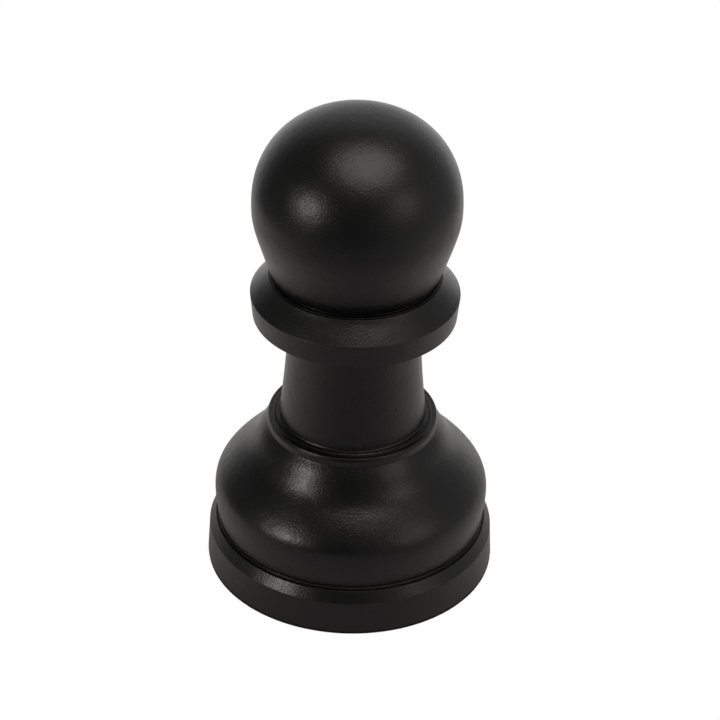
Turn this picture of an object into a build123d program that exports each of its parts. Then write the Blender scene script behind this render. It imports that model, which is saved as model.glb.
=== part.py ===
from build123d import *
from math import cos, pi, radians, sin, tan, tanh
import os

# A large black chess pawn, turned in five pieces of beech that are glued and screwed together.
# Millimetres, +Z up. The origin is the centre of the underside, on the table.

# ---- driving dimensions ---------------------------------------------------------------------
TOTAL_HEIGHT = 200.0        # table to the top of the head

FELT_THICKNESS = 0.8
FELT_RADIUS = 57.5

PLINTH_FOOT_RADIUS = 57.6   # the widest point of the pawn
PLINTH_SIDE_RADIUS = 56.9   # top of the plinth's side, where the bevel starts
PLINTH_SIDE_Z = 14.2
PLINTH_TOP_RADIUS = 54.3    # top of the bevel
PLINTH_TOP_Z = 18.5
PLINTH_GROOVE_DEPTH = 0.35  # shallow V between the bevel and the bun's foot fillet

BUN_FOOT_RADIUS = 53.3      # thin fillet that the bun stands on
BUN_FOOT_HEIGHT = 0.5
NECK_RADIUS = 33.8          # the ring at the top of the bun
NECK_WALL_HEIGHT = 4.1
NECK_TOP_Z = 67.3
NECK_TOP_RADIUS = 33.4      # the ring's side leans in towards its top edge
NECK_LEAN_HEIGHT = 1.7
NECK_EDGE_RADIUS = 0.4
BUN_CURVE = [               # radius and height, from the bun's root to the foot of the neck ring
    (52.85, 19.0),
    (53.6, 22.2),
    (54.2, 26.3),
    (54.6, 31.3),           # the fullest point of the swelling
    (54.0, 36.2),
    (51.7, 40.3),
    (45.35, 47.3),          # the shallow middle of the shoulder
    (42.05, 50.6),
    (39.35, 54.3),          # steeper again under the neck
    (37.5, 57.6),
    (35.8, 60.5),
    (NECK_RADIUS, NECK_TOP_Z - NECK_WALL_HEIGHT),
]

STEM_FOOT_RADIUS = 30.4     # thin fillet that the stem stands on
STEM_FOOT_HEIGHT = 0.5
STEM_BOTTOM_RADIUS = 29.2
STEM_TOP_RADIUS = 25.9
STEM_BOW = 0.7              # how far the stem's side is hollowed at half height
STEM_TOP_Z = 113.7

COLLAR_BOTTOM_RADIUS = 39.8
COLLAR_RIM_RADIUS = 40.8
COLLAR_RIM_Z = 123.3
COLLAR_TOP_RADIUS = 33.7
COLLAR_TOP_Z = 131.2
COLLAR_HOLLOW = 1.3         # strength of the hollow in the sloping top, about a tenth of it deep
COLLAR_CURVE_POINTS = 6     # points that carry that hollow

HEAD_HALF_WIDTH = 40.35
HEAD_HALF_HEIGHT = 37.7     # from the widest line of the head to its top
HEAD_SQUARENESS = 2.21      # 2 is an ellipse, more is a fuller, slightly squarer ball
HEAD_TAPER = 0.327          # how fast the head narrows towards the collar, in mm per mm
HEAD_EASE = 6.67            # depth below the widest line over which that taper sets in
HEAD_TUCK = 0.028           # how sharply the head tucks in just above its seat, per mm
HEAD_TUCK_DEPTH = 24.0      # depth below the widest line where that tuck begins
HEAD_SEAT_HEIGHT = 0.5      # thin fillet that the head stands on
HEAD_SEAT_MARGIN = 1.9      # how far that fillet stands out past the head
HEAD_CURVE_POINTS = 10      # points that carry each half of the head's curve

EDGE_RADIUS = 0.35          # sanded edges under the lacquer
FINE_EDGE_RADIUS = 0.15     # edges of the thin fillets

DOWEL_RADIUS = 6.0
DOWEL_CHAMFER = 1.0
DOWEL_END_GAP = 1.0         # room for glue past each end of a dowel
HEAD_DOWEL_LENGTH = 50.0
HEAD_DOWEL_Z = 95.2         # lower end, inside the stem
STEM_DOWEL_LENGTH = 40.0
STEM_DOWEL_Z = 47.3         # lower end, inside the bun

POCKET_RADIUS = 36.0        # round pocket under the plinth, for the weight and its cover
POCKET_DEPTH = 12.0
COVER_THICKNESS = 3.0
WEIGHT_RADIUS = 35.5
WEIGHT_CHAMFER = 0.5

SCREW_COUNT = 3
SCREW_CIRCLE_RADIUS = 24.0
SCREW_LENGTH = 25.0
SCREW_RADIUS = 2.0
SCREW_HEAD_RADIUS = 4.0
SCREW_HEAD_ANGLE = 82.0     # full angle of the countersunk cone
SCREW_TIP_LENGTH = 4.0
SCREW_TIP_RADIUS = 0.4
DRIVE_ARM = 4.6             # length of the cross recess in the screw head
DRIVE_WIDTH = 0.9
DRIVE_DEPTH = 1.5

# ---- heights and sizes that follow ----------------------------------------------------------
HEAD_CENTRE_Z = TOTAL_HEIGHT - HEAD_HALF_HEIGHT
GROOVE_RADIUS = (PLINTH_TOP_RADIUS + BUN_FOOT_RADIUS) / 2
POCKET_ROOF_Z = FELT_THICKNESS + POCKET_DEPTH
COVER_TOP_Z = FELT_THICKNESS + COVER_THICKNESS
SCREW_TOP_Z = POCKET_ROOF_Z + SCREW_LENGTH
SCREW_HEAD_HEIGHT = (SCREW_HEAD_RADIUS - SCREW_RADIUS) / tan(radians(SCREW_HEAD_ANGLE / 2))
UPWARD = (Align.CENTER, Align.CENTER, Align.MIN)

os.makedirs("parts", exist_ok=True)


def save(piece, name):
    """Label a finished piece and write it to its own file."""
    piece.part.label = name
    export_step(piece.part, f"parts/{name}.step")


def dome_point(angle):
    """Radius and height on the head's upper half, a superellipse; angle in radians from its widest line."""
    power = 2 / HEAD_SQUARENESS
    return HEAD_HALF_WIDTH * cos(angle) ** power, HEAD_CENTRE_Z + HEAD_HALF_HEIGHT * sin(angle) ** power


def taper_point(depth):
    """Radius and height below the head's widest line: it eases into a straight taper, then tucks in."""
    narrowing = HEAD_TAPER * (depth - HEAD_EASE * tanh(depth / HEAD_EASE))
    tuck = HEAD_TUCK * max(0, depth - HEAD_TUCK_DEPTH) ** 2
    return HEAD_HALF_WIDTH - narrowing - tuck, HEAD_CENTRE_Z - depth


def bore(bottom, length):
    """Cut a dowel hole upwards from a height, with room for glue past both ends of the dowel."""
    with Locations((0, 0, bottom - DOWEL_END_GAP)):
        Cylinder(DOWEL_RADIUS, length + 2 * DOWEL_END_GAP, align=UPWARD, mode=Mode.SUBTRACT)


def screw_places():
    """Places of the screws round the pawn's axis, one of them at the back."""
    return PolarLocations(SCREW_CIRCLE_RADIUS, SCREW_COUNT, start_angle=90)


# ---- screw: countersunk, and the same outline cuts its own hole in the plinth and the bun ---
with BuildPart() as screw_blank:
    with BuildSketch(Plane.XZ):
        with BuildLine():
            Polyline(
                (0, POCKET_ROOF_Z),
                (SCREW_HEAD_RADIUS, POCKET_ROOF_Z),
                (SCREW_RADIUS, POCKET_ROOF_Z + SCREW_HEAD_HEIGHT),
                (SCREW_RADIUS, SCREW_TOP_Z - SCREW_TIP_LENGTH),
                (SCREW_TIP_RADIUS, SCREW_TOP_Z),
                (0, SCREW_TOP_Z),
                close=True,
            )
        make_face()
    revolve(axis=Axis.Z)

with BuildPart() as screw:
    add(screw_blank.part)
    with BuildSketch(Plane.XY.offset(POCKET_ROOF_Z)):
        Rectangle(DRIVE_ARM, DRIVE_WIDTH)
        Rectangle(DRIVE_WIDTH, DRIVE_ARM)
    extrude(amount=DRIVE_DEPTH, mode=Mode.SUBTRACT)

with BuildPart() as plinth_screws:
    with screw_places():
        add(screw.part)
save(plinth_screws, "plinth_screws")

# ---- head: a ball that tapers to a flat seat, with a thin fillet under it --------------------
seat_depth = HEAD_CENTRE_Z - COLLAR_TOP_Z - HEAD_SEAT_HEIGHT
shares = [i / HEAD_CURVE_POINTS for i in range(HEAD_CURVE_POINTS)]
head_outline = [taper_point(seat_depth * (1 - share)) for share in shares]
head_outline += [dome_point(pi / 2 * share) for share in shares]
head_outline.append((0, TOTAL_HEIGHT))
seat_radius = head_outline[0][0] + HEAD_SEAT_MARGIN
seat_slope = HEAD_TAPER + 2 * HEAD_TUCK * (seat_depth - HEAD_TUCK_DEPTH)

with BuildPart() as head:
    with BuildSketch(Plane.XZ):
        with BuildLine():
            seat = Polyline(
                (0, COLLAR_TOP_Z),
                (seat_radius, COLLAR_TOP_Z),
                (seat_radius, COLLAR_TOP_Z + HEAD_SEAT_HEIGHT),
                head_outline[0],
            )
            Spline(*head_outline, tangents=[(seat_slope, 1), (-1, 0)])
            Line((0, TOTAL_HEIGHT), seat @ 0)
        make_face()
    revolve(axis=Axis.Z)
    bore(HEAD_DOWEL_Z, HEAD_DOWEL_LENGTH)
save(head, "head")

# ---- collar: a disc with a flared side and a hollowed sloping top, bored through ------------
slope_rim = Vector(COLLAR_RIM_RADIUS, COLLAR_RIM_Z)
slope_run = Vector(COLLAR_TOP_RADIUS, COLLAR_TOP_Z) - slope_rim
slope_inward = Vector(-slope_run.Y, slope_run.X).normalized()


def slope_point(share):
    """Point on the collar's sloping top, from 0 at the rim to 1 at the head, hollowed towards the head."""
    return slope_rim + slope_run * share + slope_inward * COLLAR_HOLLOW * share**3 * (1 - share)


with BuildPart() as collar:
    with BuildSketch(Plane.XZ):
        with BuildLine():
            side = Polyline(
                (0, STEM_TOP_Z),
                (COLLAR_BOTTOM_RADIUS, STEM_TOP_Z),
                (COLLAR_RIM_RADIUS, COLLAR_RIM_Z),
            )
            slope = Spline(*[slope_point(i / COLLAR_CURVE_POINTS) for i in range(COLLAR_CURVE_POINTS + 1)])
            Polyline(slope @ 1, (0, COLLAR_TOP_Z), side @ 0)
        face = make_face()
        fillet([v for v in face.vertices() if v.X > DOWEL_RADIUS], radius=EDGE_RADIUS)
    revolve(axis=Axis.Z)
    bore(HEAD_DOWEL_Z, HEAD_DOWEL_LENGTH)
save(collar, "collar")

# ---- stem: a hollow-sided taper on a thin fillet --------------------------------------------
stem_mid_z = (NECK_TOP_Z + STEM_FOOT_HEIGHT + STEM_TOP_Z) / 2
stem_mid_radius = (STEM_BOTTOM_RADIUS + STEM_TOP_RADIUS) / 2 - STEM_BOW

with BuildPart() as stem:
    with BuildSketch(Plane.XZ):
        with BuildLine():
            foot = Polyline(
                (0, NECK_TOP_Z),
                (STEM_FOOT_RADIUS, NECK_TOP_Z),
                (STEM_FOOT_RADIUS, NECK_TOP_Z + STEM_FOOT_HEIGHT),
                (STEM_BOTTOM_RADIUS, NECK_TOP_Z + STEM_FOOT_HEIGHT),
            )
            side = ThreePointArc(foot @ 1, (stem_mid_radius, stem_mid_z), (STEM_TOP_RADIUS, STEM_TOP_Z))
            Polyline(side @ 1, (0, STEM_TOP_Z), foot @ 0)
        make_face()
    revolve(axis=Axis.Z)
    bore(STEM_DOWEL_Z, STEM_DOWEL_LENGTH)
    bore(HEAD_DOWEL_Z, HEAD_DOWEL_LENGTH)
save(stem, "stem")

# ---- bun: swelling, shoulder and hollow in one curve, with a short neck ring on top ---------
with BuildPart() as bun:
    with BuildSketch(Plane.XZ):
        with BuildLine():
            foot = Polyline(
                (0, PLINTH_TOP_Z),
                (BUN_FOOT_RADIUS, PLINTH_TOP_Z),
                (BUN_FOOT_RADIUS, PLINTH_TOP_Z + BUN_FOOT_HEIGHT),
                BUN_CURVE[0],
            )
            flank = Spline(*BUN_CURVE)
            Polyline(
                flank @ 1,
                (NECK_RADIUS, NECK_TOP_Z - NECK_LEAN_HEIGHT),
                (NECK_TOP_RADIUS, NECK_TOP_Z),
                (0, NECK_TOP_Z),
                foot @ 0,
            )
        face = make_face()
        neck_edge = face.vertices().sort_by_distance((NECK_TOP_RADIUS, NECK_TOP_Z))[0]
        fillet(neck_edge, radius=NECK_EDGE_RADIUS)
    revolve(axis=Axis.Z)
    bore(STEM_DOWEL_Z, STEM_DOWEL_LENGTH)
    with screw_places():
        add(screw_blank.part, mode=Mode.SUBTRACT)
save(bun, "bun")

# ---- plinth: the wide foot, with a pocket for the weight and three countersunk screw holes ---
with BuildPart() as plinth:
    with BuildSketch(Plane.XZ):
        with BuildLine():
            Polyline(
                (0, FELT_THICKNESS),
                (PLINTH_FOOT_RADIUS, FELT_THICKNESS),
                (PLINTH_SIDE_RADIUS, PLINTH_SIDE_Z),
                (PLINTH_TOP_RADIUS, PLINTH_TOP_Z),
                (GROOVE_RADIUS, PLINTH_TOP_Z - PLINTH_GROOVE_DEPTH),
                (BUN_FOOT_RADIUS, PLINTH_TOP_Z),
                (0, PLINTH_TOP_Z),
                close=True,
            )
        face = make_face()
        fillet([v for v in face.vertices() if v.X > PLINTH_TOP_RADIUS + 1], radius=EDGE_RADIUS)
        fillet([v for v in face.vertices() if v.X == PLINTH_TOP_RADIUS], radius=FINE_EDGE_RADIUS)
    revolve(axis=Axis.Z)
    with BuildSketch(Plane.XY.offset(FELT_THICKNESS)):
        Circle(POCKET_RADIUS)
    extrude(amount=POCKET_DEPTH, mode=Mode.SUBTRACT)
    with screw_places():
        add(screw_blank.part, mode=Mode.SUBTRACT)
save(plinth, "plinth")

# ---- dowels: fluted beech pins, chamfered at both ends --------------------------------------


def dowel(bottom, length):
    """Make one dowel standing on a height."""
    with BuildPart() as pin:
        with Locations((0, 0, bottom)):
            Cylinder(DOWEL_RADIUS, length, align=UPWARD)
        chamfer(pin.edges().filter_by(GeomType.CIRCLE), length=DOWEL_CHAMFER)
    return pin


save(dowel(HEAD_DOWEL_Z, HEAD_DOWEL_LENGTH), "head_dowel")
save(dowel(STEM_DOWEL_Z, STEM_DOWEL_LENGTH), "stem_dowel")

# ---- weight: a steel disc that fills the pocket up to its cover -----------------------------
with BuildPart() as weight:
    with BuildSketch(Plane.XY.offset(COVER_TOP_Z)):
        Circle(WEIGHT_RADIUS)
    extrude(amount=POCKET_ROOF_Z - COVER_TOP_Z)
    chamfer(weight.edges().filter_by(GeomType.CIRCLE), length=WEIGHT_CHAMFER)
save(weight, "weight")

# ---- weight cover: a hardboard disc glued flush with the underside of the plinth ------------
with BuildPart() as weight_cover:
    with BuildSketch(Plane.XY.offset(FELT_THICKNESS)):
        Circle(POCKET_RADIUS)
    extrude(amount=COVER_THICKNESS)
save(weight_cover, "weight_cover")

# ---- felt pad: one cut disc over the whole underside ----------------------------------------
with BuildPart() as felt_pad:
    with BuildSketch():
        Circle(FELT_RADIUS)
    extrude(amount=FELT_THICKNESS)
save(felt_pad, "felt_pad")
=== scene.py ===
# %% [markdown]
# # A large black chess pawn, shown as its maker built it
# The pawn is turned in five pieces of beech: head, collar, stem, bun and plinth. They are pinned, glued and
# screwed together, sprayed satin black, weighted with a steel disc and given a felt pad to stand on.
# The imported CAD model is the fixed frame. It gives every place and size, and this lesson adds the surfaces:
# smooth turned skins, flutes, screw threads, felt fibres and the finishes of each material.

# %% Load the frame
from math import cos, pi, radians, sin, tan

import bpy
import numpy as np
from mathutils import Matrix, Vector


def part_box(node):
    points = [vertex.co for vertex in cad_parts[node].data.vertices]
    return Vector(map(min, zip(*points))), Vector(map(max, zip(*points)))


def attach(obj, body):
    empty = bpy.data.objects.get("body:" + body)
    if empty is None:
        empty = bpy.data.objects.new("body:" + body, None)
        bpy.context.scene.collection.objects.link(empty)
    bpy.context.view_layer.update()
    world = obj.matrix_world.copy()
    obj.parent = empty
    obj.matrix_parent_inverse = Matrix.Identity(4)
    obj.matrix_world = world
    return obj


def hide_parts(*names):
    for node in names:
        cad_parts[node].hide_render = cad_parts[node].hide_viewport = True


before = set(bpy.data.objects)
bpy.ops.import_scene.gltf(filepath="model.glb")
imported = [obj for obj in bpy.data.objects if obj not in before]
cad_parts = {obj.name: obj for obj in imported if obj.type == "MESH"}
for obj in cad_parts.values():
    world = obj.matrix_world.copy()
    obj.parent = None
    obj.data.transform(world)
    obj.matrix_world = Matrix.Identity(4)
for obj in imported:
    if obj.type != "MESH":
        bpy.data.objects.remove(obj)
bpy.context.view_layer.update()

# %% [markdown]
# ## Measures from the frame
# Lathe work is measured by radius and height. Each CAD piece gives its lowest and highest point and its
# greatest radius. The smaller steps of the turning, such as a bevel or a fillet, are in millimetres here,
# because a maker reads them in millimetres, and `MM` turns them into the frame's metres.

# %% Radii and heights of the pieces
MM = 0.001


def heights(node):
    """Bottom and top of a CAD piece."""
    low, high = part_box(node)
    return low.z, high.z


def widest(node):
    """Greatest radius of a CAD piece, from its box along X."""
    low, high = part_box(node)
    return (high.x - low.x) / 2


head_bottom, head_top = heights("head")
collar_bottom, collar_top = heights("collar")
stem_bottom, stem_top = heights("stem")
bun_bottom, bun_top = heights("bun")
plinth_bottom, plinth_top = heights("plinth")
weight_bottom, weight_top = heights("weight")
head_dowel_bottom, head_dowel_top = heights("head_dowel")
stem_dowel_bottom, stem_dowel_top = heights("stem_dowel")
screw_bottom, screw_top = heights("plinth_screws")
dowel_radius = widest("head_dowel")
pocket_radius = widest("weight_cover")
BARE_MARGIN = 1.001         # a row this near the wall of a bore still belongs to the bore


def in_bore(radius, height):
    """True for the parts of an outline that lie in a dowel hole."""
    return radius <= dowel_radius * BARE_MARGIN


def in_pocket(radius, height):
    """True for the parts of an outline that lie in the pocket under the plinth."""
    return (radius <= pocket_radius * BARE_MARGIN) & (height <= weight_top * BARE_MARGIN)


print("pawn is", round(head_top / MM, 1), "mm tall on a foot of", round(2 * widest("plinth") / MM, 1), "mm")

# %% [markdown]
# ## Turning on a lathe, with numpy
# Every outer piece of the pawn came off a lathe, so each is an outline carried round an axis. Blender's Spin
# or Screw tools could do it, but an outline held as an array is easier to round, join and measure.
# An outline is a row of complex numbers: the real part is the radius and the imaginary part is the height.
# Turning a corner is then one multiplication by `exp(i * angle)`. Outlines run anticlockwise, from the
# underside outwards and up, so that the faces point out of the wood.

# %% Outlines: joining, softening and spacing
EDGE = 0.35 * MM            # sanded edges under the lacquer
FINE_EDGE = 0.15 * MM       # edges of the thin fillets
ROW_GAP = 1.1 * MM          # widest gap between two rows of a turned skin
ROUND_STEPS = 5             # faces across a softened edge
CLEAR_OF_ARC = 1.05         # points closer to a corner than its arc, and this share more, give way to it
TOUCHING = 1e-9             # metres within which two points are the same


def outline(*points):
    """Corners given as (radius, height), as one row of complex numbers."""
    return np.array([complex(radius, height) for radius, height in points])


def soften(line, corner, radius):
    """Replace the corner nearest to a point by an arc of that radius.

    The arc starts radius * tan(turn / 2) before the corner. Its centre lies one radius to the side, and its
    points are centre - side * radius * exp(i * turn * t) for t from 0 to 1.
    """
    at = int(np.argmin(abs(line - complex(*corner))))
    before = (line[at] - line[at - 1]) / abs(line[at] - line[at - 1])
    after = (line[at + 1] - line[at]) / abs(line[at + 1] - line[at])
    turn = np.angle(after / before)
    side = 1j * before * np.sign(turn)
    cut = radius * tan(abs(turn) / 2)
    centre = line[at] - before * cut + side * radius
    arc = centre - side * radius * np.exp(1j * turn * np.linspace(0, 1, ROUND_STEPS + 1))
    distance = abs(line - line[at])
    first = line[:at][distance[:at] > cut * CLEAR_OF_ARC]
    last = line[at + 1:][distance[at + 1:] > cut * CLEAR_OF_ARC]
    return np.concatenate([first, arc, last])


def spaced(line, gap=ROW_GAP):
    """Add points to long straight runs, so that smooth shading stays flat.

    They lie closer together towards both ends: a run of n steps has them at (1 - cos(pi * k / n)) / 2 of its
    length.
    """
    runs = []
    for start, end in zip(line[:-1], line[1:]):
        steps = 1 if abs(end - start) < gap else int(abs(end - start) / gap) + 3
        share = (1 - np.cos(pi * np.arange(steps) / steps)) / 2
        runs.append(start + (end - start) * share)
    return np.concatenate(runs + [line[-1:]])


def smooth_curve(knots, steps):
    """A curve through knots whose slope and bend are continuous (a natural cubic spline).

    The second derivatives m solve h0*m0 + 2*(h0+h1)*m1 + h1*m2 = 6*(slope1 - slope0) at each inner knot, with
    m = 0 at both ends, and h is the distance between two knots.
    """
    knots = np.asarray(knots)
    place = np.concatenate([[0], np.cumsum(abs(np.diff(knots)))])
    h = np.diff(place)
    slope = np.diff(knots) / h
    matrix = np.eye(len(knots))
    rows = np.arange(1, len(knots) - 1)
    matrix[rows, rows - 1] = h[:-1]
    matrix[rows, rows] = 2 * (h[:-1] + h[1:])
    matrix[rows, rows + 1] = h[1:]
    right = np.zeros(len(knots), complex)
    right[1:-1] = 6 * np.diff(slope)
    m = np.linalg.solve(matrix, right)
    t = np.linspace(0, place[-1], steps)
    i = np.clip(np.searchsorted(place, t, side="right") - 1, 0, len(h) - 1)
    a, b = place[i + 1] - t, t - place[i]
    bend = (m[i] * (a**3 / h[i] - h[i] * a) + m[i + 1] * (b**3 / h[i] - h[i] * b)) / 6
    return bend + (knots[i] * a + knots[i + 1] * b) / h[i]


print("a 90 degree corner softened:", len(soften(outline((0, 0), (1, 0), (1, 1)), (1, 0), 0.1)), "points")

# %% [markdown]
# ## From outline to mesh
# `turned` makes a grid of rows along the outline and columns round the axis. A row on the axis becomes one
# vertex, so the poles are closed. An outline that ends where it began, round a bore, closes on itself.
# The bores and the pocket are bare wood on the real pawn, so each row can name its finish.

# %% The lathe
COLUMNS = 240
pieces = {}


def mesh_piece(name, vertices, faces, materials=None, smooth=True):
    """Put arrays of vertices and faces into a mesh object at the origin, and keep it by name."""
    mesh = bpy.data.meshes.new(name)
    mesh.from_pydata(vertices.tolist(), [], faces)
    mesh.polygons.foreach_set("use_smooth", np.full(len(mesh.polygons), smooth))
    if materials is not None:
        mesh.polygons.foreach_set("material_index", np.asarray(materials, dtype=np.int32))
    mesh.validate()
    mesh.update()
    piece = bpy.data.objects.new(name, mesh)
    bpy.context.scene.collection.objects.link(piece)
    pieces[name] = piece
    return piece


def grid_faces(ids, bare):
    """Faces between neighbouring rows of a grid of vertex numbers, round and round.

    Where a row is a pole, all its numbers are the same, and its faces are triangles.
    """
    low, high = ids[:-1], ids[1:]
    quads = np.stack([low, np.roll(low, -1, 1), np.roll(high, -1, 1), high], axis=2)
    finish = np.repeat(np.asarray(bare, dtype=int)[:, None], ids.shape[1], axis=1)
    bottom_pole = low[:, 0] == low[:, 1]
    top_pole = high[:, 0] == high[:, 1]
    inner = ~(bottom_pole | top_pole)
    faces = quads[inner].reshape(-1, 4).tolist()
    faces += quads[bottom_pole][:, :, [0, 2, 3]].reshape(-1, 3).tolist()
    faces += quads[top_pole][:, :, [0, 1, 2]].reshape(-1, 3).tolist()
    finishes = [finish[inner].ravel(), finish[bottom_pole].ravel(), finish[top_pole].ravel()]
    return faces, np.concatenate(finishes)


def turned(name, line, is_bare=None, columns=COLUMNS, carve=None):
    """Turn an outline about Z: the point r + iz becomes the circle (r cos a, r sin a, z), a from 0 to 2 pi.

    carve(radius, angle, height) may return a new radius and height for every point, as a tool cuts flutes.
    """
    angle = 2 * pi * np.arange(columns) / columns
    loop = abs(line[0] - line[-1]) < TOUCHING
    rows = line[:-1] if loop else line
    radius, height = rows.real[:, None] + 0 * angle, rows.imag[:, None] + 0 * angle
    if carve is not None:
        radius, height = carve(radius, angle, height)
    grid = np.stack([radius * np.cos(angle), radius * np.sin(angle), height], axis=2)
    on_axis = rows.real < TOUCHING
    used = np.ones(grid.shape[:2], dtype=bool)
    used[on_axis, 1:] = False
    ids = np.cumsum(used.ravel()).reshape(used.shape) - 1
    if loop:
        ids = np.vstack([ids, ids[:1]])
    middle = (line[:-1] + line[1:]) / 2
    bare = np.zeros(len(middle)) if is_bare is None else is_bare(middle.real, middle.imag)
    faces, finish = grid_faces(ids, bare)
    return mesh_piece(name, grid[used], faces, finish)


print("lathe ready:", COLUMNS, "columns")

# %% [markdown]
# ## The head
# Above its widest line the head is a flattened ball, a little fuller than a sphere, so its outline there is a
# superellipse: `(r / a) ** n + (h / b) ** n = 1` with n just over 2. Below that line it eases into a straight
# taper, and just above the collar it tucks in. A squashed sphere would be undercut there, and would leave a
# deep black gap.
# A thin fillet under the head sits on the collar, and a blind hole takes the dowel.

# %% Turn the head
HEAD_SQUARENESS = 2.21      # 2 is an ellipse, more is a fuller ball
HEAD_HALF_HEIGHT = 37.7 * MM
HEAD_TAPER = 0.327          # metres of radius lost per metre of depth
HEAD_EASE = 6.67 * MM       # depth over which the taper sets in
HEAD_TUCK = 0.028 / MM      # how sharply the head tucks in above its seat
HEAD_TUCK_DEPTH = 24.0 * MM
HEAD_ROWS = 60
SEAT_HEIGHT = 0.5 * MM
SEAT_MARGIN = 1.9 * MM      # how far the fillet stands out past the head
GLUE_GAP = 1.0 * MM         # room past each end of a dowel

head_radius = widest("head")
head_centre = head_top - HEAD_HALF_HEIGHT


def head_curve(steps):
    """Outline from the seat up to the pole, in two halves that share their widest point.

    Below it, at a depth d: radius = widest - taper * (d - ease * tanh(d / ease)) - tuck * (d - start) ** 2,
    where the last term begins at the depth where the head tucks in.
    Above it, at an angle t: radius = widest * cos(t) ** (2 / n), height = half height * sin(t) ** (2 / n).
    """
    depth = np.linspace(head_centre - head_bottom - SEAT_HEIGHT, 0, steps)
    narrowing = HEAD_TAPER * (depth - HEAD_EASE * np.tanh(depth / HEAD_EASE))
    tuck = HEAD_TUCK * np.maximum(0, depth - HEAD_TUCK_DEPTH) ** 2
    below = head_radius - narrowing - tuck - 1j * depth
    t = np.linspace(0, pi / 2, steps)[1:]
    power = 2 / HEAD_SQUARENESS
    above = head_radius * abs(np.cos(t)) ** power + 1j * HEAD_HALF_HEIGHT * np.sin(t) ** power
    above[-1] = 1j * HEAD_HALF_HEIGHT
    return np.concatenate([below, above]) + 1j * head_centre


head_skin = head_curve(HEAD_ROWS)
seat_radius = head_skin[0].real + SEAT_MARGIN
head_line = np.concatenate([
    outline(
        (0, head_dowel_top + GLUE_GAP),
        (dowel_radius, head_dowel_top + GLUE_GAP),
        (dowel_radius, head_bottom),
        (seat_radius, head_bottom),
        (seat_radius, head_bottom + SEAT_HEIGHT),
    ),
    head_skin,
])
head_line = spaced(soften(head_line, (seat_radius, head_bottom + SEAT_HEIGHT), FINE_EDGE))
turned("turned_head", head_line, lambda radius, height: in_bore(radius, height) & (height < head_centre))
print("head: radius", round(head_radius / MM, 2), "mm, fillet radius", round(seat_radius / MM, 2), "mm")

# %% [markdown]
# ## The collar
# The collar is a disc: its side flares a little towards the top, and its sloping top steepens towards the
# head, so it picks up the main light near the head and the overhead light near the rim. Its rim is crisp,
# with only the rounding that sanding and paint leave. The dowel passes right through it.

# %% Turn the collar
COLLAR_RIM_RADIUS = 40.8 * MM
COLLAR_FLARE = 1.0 * MM     # how much wider the rim is than the underside
COLLAR_RIM_DROP = 7.9 * MM  # from the top of the collar down to its rim
COLLAR_TOP_RADIUS = 33.7 * MM
COLLAR_HOLLOW = 1.3 * MM    # strength of the slope's hollow, about a tenth of it deep
COLLAR_ROWS = 24

under_rim = (COLLAR_RIM_RADIUS - COLLAR_FLARE, collar_bottom)
rim = (COLLAR_RIM_RADIUS, collar_top - COLLAR_RIM_DROP)
inner = (COLLAR_TOP_RADIUS, collar_top)


def hollow_run(start, end, depth, power, steps):
    """A hollow between two points: the straight run, moved sideways by depth * t ** power * (1 - t).

    A power of 1 is deepest in the middle, and a greater power moves the hollow towards the end.
    """
    t = np.linspace(0, 1, steps)
    sideways = 1j * (end - start) / abs(end - start)
    return start + (end - start) * t + sideways * depth * t**power * (1 - t)


collar_line = np.concatenate([
    outline((dowel_radius, collar_bottom), under_rim),
    hollow_run(complex(*rim), complex(*inner), COLLAR_HOLLOW, power=3, steps=COLLAR_ROWS),
    outline((dowel_radius, collar_top), (dowel_radius, collar_bottom)),
])
for corner in (under_rim, rim, inner):
    collar_line = soften(collar_line, corner, EDGE)
turned("turned_collar", spaced(collar_line), in_bore)
print("collar: rim radius", round(COLLAR_RIM_RADIUS / MM, 2), "mm")

# %% [markdown]
# ## The stem
# A taper whose side is hollowed by under a millimetre. A straight cone would look bulged beside the round
# ball and bun. It stands on a film of paint that runs out over its foot, and it is drilled from both ends for
# its two dowels.

# %% Turn the stem
STEM_BOTTOM_RADIUS = 29.2 * MM
STEM_TOP_RADIUS = 25.9 * MM
STEM_BOW = 0.7 * MM         # how far the side is hollowed at half height
STEM_FOOT_HEIGHT = 0.05 * MM
STEM_FOOT_EDGE = 0.02 * MM
STEM_ROWS = 48

stem_foot_radius = widest("stem")
stem_line = np.concatenate([
    outline(
        (0, stem_dowel_top + GLUE_GAP),
        (dowel_radius, stem_dowel_top + GLUE_GAP),
        (dowel_radius, stem_bottom),
        (stem_foot_radius, stem_bottom),
        (stem_foot_radius, stem_bottom + STEM_FOOT_HEIGHT),
    ),
    hollow_run(
        complex(STEM_BOTTOM_RADIUS, stem_bottom + STEM_FOOT_HEIGHT),
        complex(STEM_TOP_RADIUS, stem_top),
        4 * STEM_BOW,
        power=1,
        steps=STEM_ROWS,
    ),
    outline(
        (dowel_radius, stem_top),
        (dowel_radius, head_dowel_bottom - GLUE_GAP),
        (0, head_dowel_bottom - GLUE_GAP),
    ),
])
stem_line = soften(stem_line, (stem_foot_radius, stem_bottom + STEM_FOOT_HEIGHT), STEM_FOOT_EDGE)
turned("turned_stem", spaced(stem_line), in_bore)
print("stem:", round((stem_top - stem_bottom) / MM, 1), "mm long")

# %% [markdown]
# ## The bun
# The bun carries most of the pawn's character. Its side swells out, turns over a shallow shoulder and grows
# steeper again up to the neck ring, so one lamp gives two highlights, one above the other. Arcs joined end to
# end would show a step in each reflection, because their bend jumps where they meet. A cubic spline through a
# dozen points keeps the bend continuous. The neck ring leans in at its top, and on its flat top a fine bead
# runs round the stem, with a groove behind it.

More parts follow.
